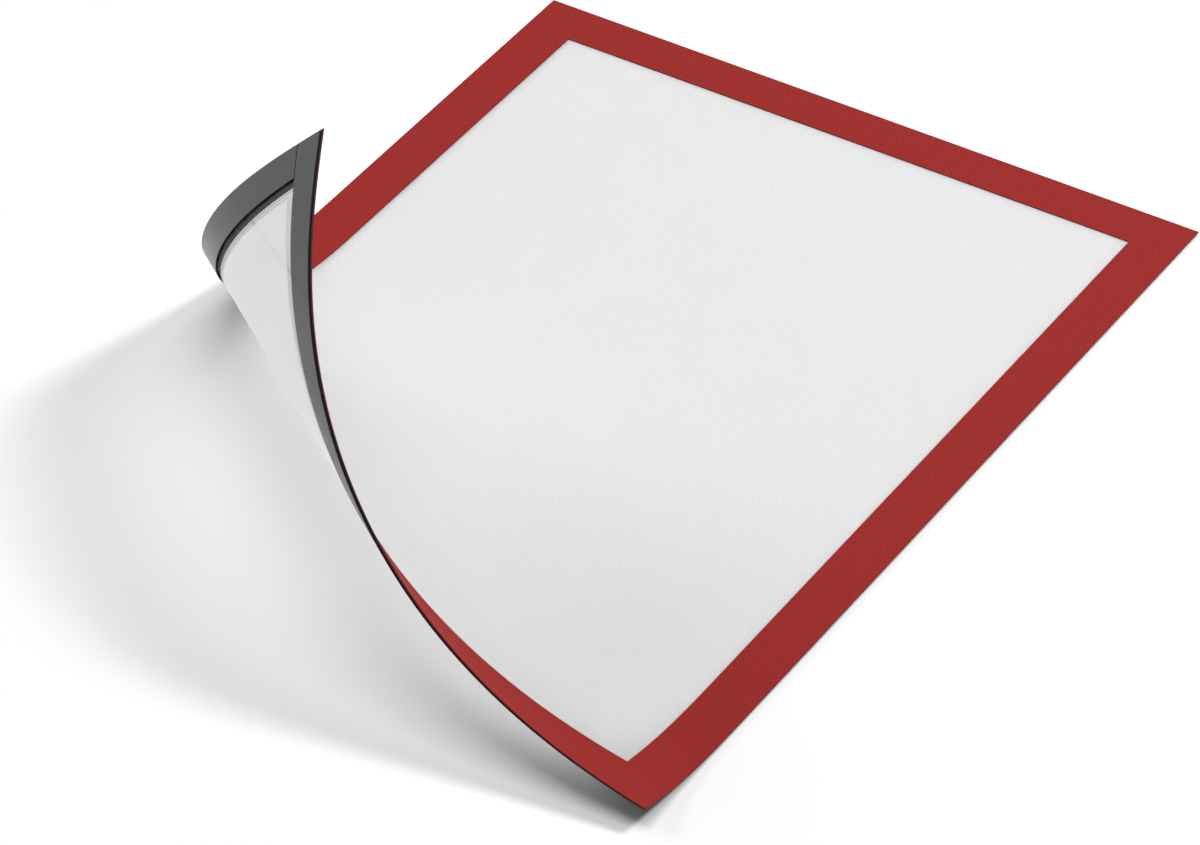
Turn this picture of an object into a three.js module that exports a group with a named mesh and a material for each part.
// A flexible magnetic display frame for one sheet of paper, lying on a table with its lower left corner
// curled up and over. All sizes are in millimetres and +Z is up. The origin is on the table, at the
// centre of the frame's flat outline. The sheet is described flat: u runs along its short side from
// the left edge, v along its long side from the bottom edge, and height is measured from the table.

import * as THREE from 'three';

// The sheet of paper that the frame shows
const INSERT_WIDTH = 210;
const INSERT_LENGTH = 297;
const INSERT_THICKNESS = 0.1;
const INSERT_AIR_GAP = 0.03; // between the paper and the window film in front of it
const INSERT_EDGE_CLEARANCE = 0.3; // between the paper and the two strips that it is pushed against

// Room that the paper has to slide between the strips, in all
const SIDE_SLACK = 3;
const END_SLACK = 1;

// Magnetic strips on the back
const END_STRIP_WIDTH = 12.5; // the strips along the two short sides, which run out to the corners
const SIDE_STRIP_WIDTH = 11.5; // the strips along the two long sides, which butt between those two
const STRIP_THICKNESS = 0.6;
const STRIP_SEAM = 0.4; // open joint where a side strip meets an end strip

// Films on the front
const BORDER_LIP = 3.3; // how far the border reaches past the wider strips
const BORDER_THICKNESS = 0.3;
const WINDOW_THICKNESS = 0.1;
const BOND_THICKNESS = 0.03; // coat of adhesive between two layers, left open here

// The curled corner, which turns about fold lines that fan out across the sheet
const CURL_TURN = 123.5; // degrees from the flat part to the tip of the corner
const CURL_RIGHT_EDGE = 51.7; // how far up the right edge the curl starts
const CURL_SHARPENING = 0.88; // below 1, the turn gathers early; 1 spreads it evenly about the middle
const FOLD_HEADING_START = 59; // degrees from the short side to the square of the first fold line
const FOLD_HEADING_TIP = 36; // the same at the tip
const FOLD_HEADING_BOW = 3; // by how much the middle fold lines turn further than the mean of the two

// Segments that let the curl be pressed flat: each turns about one of the fold lines
const HINGE_COUNT = 7;
const FIRST_HINGE_FOLDS = 3; // folds whose turn the first hinge takes back
const HINGE_FOLDS = 5; // folds whose turn each further hinge takes back
const HINGE_SLOT_WIDTH = 0.3; // cut between two segments

const MATERIALS = {
  border: new THREE.MeshStandardMaterial({ color: 0x9c2f2d, roughness: 0.5, metalness: 0 }),
  window: new THREE.MeshStandardMaterial({ color: 0xe9ebec, roughness: 0.35, metalness: 0 }),
  strip: new THREE.MeshStandardMaterial({ color: 0x55575a, roughness: 0.45, metalness: 0 }),
  insert: new THREE.MeshStandardMaterial({ color: 0xf1f1ef, roughness: 0.9, metalness: 0 }),
};

const FRAME_WIDTH = INSERT_WIDTH + SIDE_SLACK + 2 * SIDE_STRIP_WIDTH;
const FRAME_LENGTH = INSERT_LENGTH + END_SLACK + 2 * END_STRIP_WIDTH;
const BORDER_WIDTH = Math.max(END_STRIP_WIDTH, SIDE_STRIP_WIDTH) + BORDER_LIP;

// Heights of each layer's back and front above the table, where the sheet is flat
const STRIP_LAYER = layer(0, STRIP_THICKNESS);
const WINDOW_LAYER = layer(STRIP_LAYER.front + BOND_THICKNESS, WINDOW_THICKNESS);
const BORDER_LAYER = layer(WINDOW_LAYER.front + BOND_THICKNESS, BORDER_THICKNESS);
const INSERT_LAYER = layer(WINDOW_LAYER.back - INSERT_AIR_GAP - INSERT_THICKNESS, INSERT_THICKNESS);
const NEUTRAL_HEIGHT = BORDER_LAYER.front; // the face that keeps its length when the sheet bends

const FOLD_COUNT = FIRST_HINGE_FOLDS + HINGE_FOLDS * (HINGE_COUNT - 1);
const FOLD_ANGLE = THREE.MathUtils.degToRad(CURL_TURN / FOLD_COUNT);
const FOLD_MITRE = Math.tan(FOLD_ANGLE / 2);
const SAME_POINT = 1e-6;
const SAME_CORNER = 1e-4; // cells that meet in a corner may find it this far apart

function layer(back, thickness) {
  return { back, front: back + thickness };
}

// A fold line, numbered from 1 at the flat part. It passes through point on the sheet's diagonal, and
// heading is the unit vector square to it that points back to the flat part. Each line takes an equal
// share of the turn, and the turn follows a smooth step from the first line of the curl to the tip.
function makeFold(number) {
  const diagonal = new THREE.Vector2(FRAME_WIDTH, FRAME_LENGTH).normalize();
  const start = headingVector(FOLD_HEADING_START);
  const reach = new THREE.Vector2(FRAME_WIDTH, CURL_RIGHT_EDGE).dot(start) / diagonal.dot(start);
  const turned = (number - 0.5) / FOLD_COUNT;
  const step = 0.5 - Math.sin(Math.asin(1 - 2 * turned) / 3);
  const left = 1 - step ** (1 / CURL_SHARPENING);
  const bow = FOLD_HEADING_BOW * 4 * left * (1 - left);
  const heading = headingVector(FOLD_HEADING_TIP + (FOLD_HEADING_START - FOLD_HEADING_TIP) * left + bow);
  return { number, point: diagonal.multiplyScalar(reach * left), heading };
}

function headingVector(degrees) {
  const angle = THREE.MathUtils.degToRad(degrees);
  return new THREE.Vector2(Math.cos(angle), Math.sin(angle));
}

// The folds that are hinges: the middle one of the folds whose turn each hinge takes back
function hingeFold(hinge) {
  if (hinge === 1) return (FIRST_HINGE_FOLDS + 1) / 2;
  return FIRST_HINGE_FOLDS + HINGE_FOLDS * (hinge - 2) + (HINGE_FOLDS + 1) / 2;
}

const folds = Array.from({ length: FOLD_COUNT }, (_, index) => makeFold(index + 1));
const hinges = Array.from({ length: HINGE_COUNT }, (_, index) => folds[hingeFold(index + 1) - 1]);

// Band 0 is the flat part, and band n lies past fold n. Each has the matrix that carries it from the
// flat sheet to its place: the last band's, turned once more about the fold line between them.
const flatPart = new THREE.Matrix4().makeTranslation(-FRAME_WIDTH / 2, -FRAME_LENGTH / 2, NEUTRAL_HEIGHT);
const bandMatrices = [flatPart];
for (const fold of folds) {
  const about = new THREE.Matrix4().makeTranslation(fold.point.x, fold.point.y, 0);
  const line = new THREE.Vector3(-fold.heading.y, fold.heading.x, 0);
  const turn = new THREE.Matrix4().makeRotationAxis(line, FOLD_ANGLE);
  const back = about.clone().invert();
  bandMatrices.push(bandMatrices.at(-1).clone().multiply(about).multiply(turn).multiply(back));
}

// How far a flat point lies from a fold line, towards the flat part
function aheadOf(fold, point) {
  return point.clone().sub(fold.point).dot(fold.heading);
}

// Half of the slot that a fold line is cut open by
function halfSlot(fold) {
  return hinges.includes(fold) ? HINGE_SLOT_WIDTH / 2 : 0;
}

// The place of a flat point of one band at a height. On a fold line the layers meet in a mitre, so
// that those behind the neutral face reach a little past the line.
function placed(point, height, band) {
  const depth = height - NEUTRAL_HEIGHT;
  const flat = new THREE.Vector2().copy(point);
  const before = folds[band - 1];
  const after = folds[band];
  if (before && Math.abs(aheadOf(before, point)) < SAME_POINT) {
    flat.addScaledVector(before.heading, -depth * FOLD_MITRE);
  } else if (after && Math.abs(aheadOf(after, point)) < SAME_POINT) {
    flat.addScaledVector(after.heading, depth * FOLD_MITRE);
  }
  return new THREE.Vector3(flat.x, flat.y, depth).applyMatrix4(bandMatrices[band]);
}

// The part of a convex outline where distance(point) is zero or more
function clipped(outline, distance) {
  const kept = [];
  outline.forEach((point, index) => {
    const next = outline[(index + 1) % outline.length];
    const here = distance(point);
    const there = distance(next);
    if (here >= -SAME_POINT) kept.push(point);
    if (Math.min(here, there) < -SAME_POINT && Math.max(here, there) > SAME_POINT) {
      kept.push(point.clone().lerp(next, here / (here - there)));
    }
  });
  return kept;
}

// The cells that an outline is cut into by the fold lines of one segment, from its first band to its
// last. A segment starts and ends half a slot away from its hinges' lines.
function bandCells(outline, firstBand, lastBand) {
  const cells = [];
  for (let band = firstBand; band <= lastBand; band += 1) {
    const before = folds[band - 1];
    const after = folds[band];
    let cell = outline;
    if (before) cell = clipped(cell, (point) => -aheadOf(before, point) - halfSlot(before));
    if (after) cell = clipped(cell, (point) => aheadOf(after, point) - halfSlot(after));
    if (cell.length > 2 && THREE.ShapeUtils.area(cell) > SAME_POINT) cells.push({ cell, band });
  }
  return cells;
}

// One closed solid from cells that share their edges: a front and a back face over each cell, and a
// wall along each edge that only one cell has.
function sheetGeometry(cells, { back, front }) {
  const flatPoints = [];
  const positions = [];
  const triangles = [];
  const edges = new Map();
  const indexOf = (point, band) => {
    let index = flatPoints.findIndex((known) => known.distanceTo(point) < SAME_CORNER);
    if (index < 0) {
      index = flatPoints.push(point) - 1;
      positions.push(...placed(point, front, band).toArray(), ...placed(point, back, band).toArray());
    }
    return index;
  };
  for (const { cell, band } of cells) {
    const corners = cell.map((point) => indexOf(point, band));
    const ring = corners.filter((corner, place) => corner !== corners[(place + 1) % corners.length]);
    for (let place = 1; place < ring.length - 1; place += 1) {
      const [a, b, c] = [ring[0], ring[place], ring[place + 1]];
      triangles.push(2 * a, 2 * b, 2 * c, 2 * a + 1, 2 * c + 1, 2 * b + 1);
    }
    ring.forEach((a, place) => {
      const b = ring[(place + 1) % ring.length];
      if (!edges.delete(`${b} ${a}`)) edges.set(`${a} ${b}`, [a, b]);
    });
  }
  for (const [a, b] of edges.values()) {
    triangles.push(2 * a + 1, 2 * b + 1, 2 * b, 2 * a + 1, 2 * b, 2 * a);
  }
  const geometry = new THREE.BufferGeometry();
  geometry.setAttribute('position', new THREE.Float32BufferAttribute(positions, 3));
  geometry.setIndex(triangles);
  geometry.computeVertexNormals();
  return geometry;
}

// Flat outlines, each anticlockwise as seen from the front

function rectangle(left, bottom, right, top) {
  return flatOutline([left, bottom], [right, bottom], [right, top], [left, top]);
}

function flatOutline(...points) {
  return points.map(([u, v]) => new THREE.Vector2(u, v));
}

const OUTER_CORNERS = [[0, 0], [FRAME_WIDTH, 0], [FRAME_WIDTH, FRAME_LENGTH], [0, FRAME_LENGTH]];
const INNER_CORNERS = OUTER_CORNERS.map(([u, v]) => [
  u === 0 ? BORDER_WIDTH : u - BORDER_WIDTH,
  v === 0 ? BORDER_WIDTH : v - BORDER_WIDTH,
]);

// One side of the border, mitred at both ends, numbered anticlockwise from the bottom one
function borderSide(side) {
  const next = (side + 1) % OUTER_CORNERS.length;
  return flatOutline(OUTER_CORNERS[side], OUTER_CORNERS[next], INNER_CORNERS[next], INNER_CORNERS[side]);
}

const BORDER_SIDES = { bottom: borderSide(0), right: borderSide(1), top: borderSide(2), left: borderSide(3) };

const WINDOW_OUTLINE = rectangle(0, 0, FRAME_WIDTH, FRAME_LENGTH);

const SIDE_STRIP_BOTTOM = END_STRIP_WIDTH + STRIP_SEAM;
const SIDE_STRIP_TOP = FRAME_LENGTH - SIDE_STRIP_BOTTOM;
const STRIP_OUTLINES = {
  bottom_strip: rectangle(0, 0, FRAME_WIDTH, END_STRIP_WIDTH),
  right_strip: rectangle(FRAME_WIDTH - SIDE_STRIP_WIDTH, SIDE_STRIP_BOTTOM, FRAME_WIDTH, SIDE_STRIP_TOP),
  top_strip: rectangle(0, FRAME_LENGTH - END_STRIP_WIDTH, FRAME_WIDTH, FRAME_LENGTH),
  left_strip: rectangle(0, SIDE_STRIP_BOTTOM, SIDE_STRIP_WIDTH, SIDE_STRIP_TOP),
};

const INSERT_RIGHT = FRAME_WIDTH - SIDE_STRIP_WIDTH - INSERT_EDGE_CLEARANCE;
const INSERT_BOTTOM = END_STRIP_WIDTH + INSERT_EDGE_CLEARANCE;
const INSERT_OUTLINE = rectangle(
  INSERT_RIGHT - INSERT_WIDTH,
  INSERT_BOTTOM,
  INSERT_RIGHT,
  INSERT_BOTTOM + INSERT_LENGTH,
);

// The segments: number 0 is the root, and each further one turns about its hinge

function firstBand(segment) {
  return segment === 0 ? 0 : hingeFold(segment);
}

function lastBand(segment) {
  return segment === HINGE_COUNT ? FOLD_COUNT : hingeFold(segment + 1) - 1;
}

function nodeName(piece, segment) {
  return segment === 0 ? piece : `${piece}_${segment}`;
}

// The place of a segment's hinge: its origin on the hinge's line in the strips' back face, with Y
// along that line and Z square to the sheet just past it, so that rotateY bends the frame there.
function segmentMatrix(segment) {
  if (segment === 0) return new THREE.Matrix4();
  const fold = hinges[segment - 1];
  const origin = placed(fold.point, STRIP_LAYER.back, fold.number);
  const turn = new THREE.Matrix4().makeRotationZ(fold.heading.angle());
  return bandMatrices[fold.number].clone().multiply(turn).setPosition(origin);
}

// Adds a named piece to a segment's group, from the outlines that it is made of
function addPiece(group, segment, piece, outlines, heights, material) {
  const cells = outlines.flatMap((flat) => bandCells(flat, firstBand(segment), lastBand(segment)));
  if (cells.length === 0) return;
  const geometry = sheetGeometry(cells, heights);
  geometry.applyMatrix4(segmentMatrix(segment).invert());
  const mesh = new THREE.Mesh(geometry, material);
  mesh.name = nodeName(piece, segment);
  group.add(mesh);
}

// The border is one film with four sides. Past the first hinge a segment holds its left and its
// bottom side as two pieces, and the last one holds the corner where they meet as one.
function addBorder(group, segment) {
  const { left, bottom, right, top } = BORDER_SIDES;
  if (segment === 0) {
    addPiece(group, segment, 'front_border', [left, top, right], BORDER_LAYER, MATERIALS.border);
  } else if (segment === HINGE_COUNT) {
    addPiece(group, segment, 'border_corner', [left, bottom], BORDER_LAYER, MATERIALS.border);
  } else {
    addPiece(group, segment, 'border_left', [left], BORDER_LAYER, MATERIALS.border);
    addPiece(group, segment, 'border_bottom', [bottom, right], BORDER_LAYER, MATERIALS.border);
  }
}

function makeSegment(segment) {
  const group = new THREE.Group();
  addBorder(group, segment);
  addPiece(group, segment, 'window_film', [WINDOW_OUTLINE], WINDOW_LAYER, MATERIALS.window);
  for (const [piece, flat] of Object.entries(STRIP_OUTLINES)) {
    addPiece(group, segment, piece, [flat], STRIP_LAYER, MATERIALS.strip);
  }
  addPiece(group, segment, 'insert_sheet', [INSERT_OUTLINE], INSERT_LAYER, MATERIALS.insert);
  return group;
}

const frame = makeSegment(0);
frame.name = 'magnetic_display_frame';
let holder = frame;
for (let segment = 1; segment <= HINGE_COUNT; segment += 1) {
  const group = makeSegment(segment);
  group.name = `curl_segment_${segment}`;
  group.applyMatrix4(segmentMatrix(segment - 1).invert().multiply(segmentMatrix(segment)));
  holder.add(group);
  holder = group;
}

export default frame;
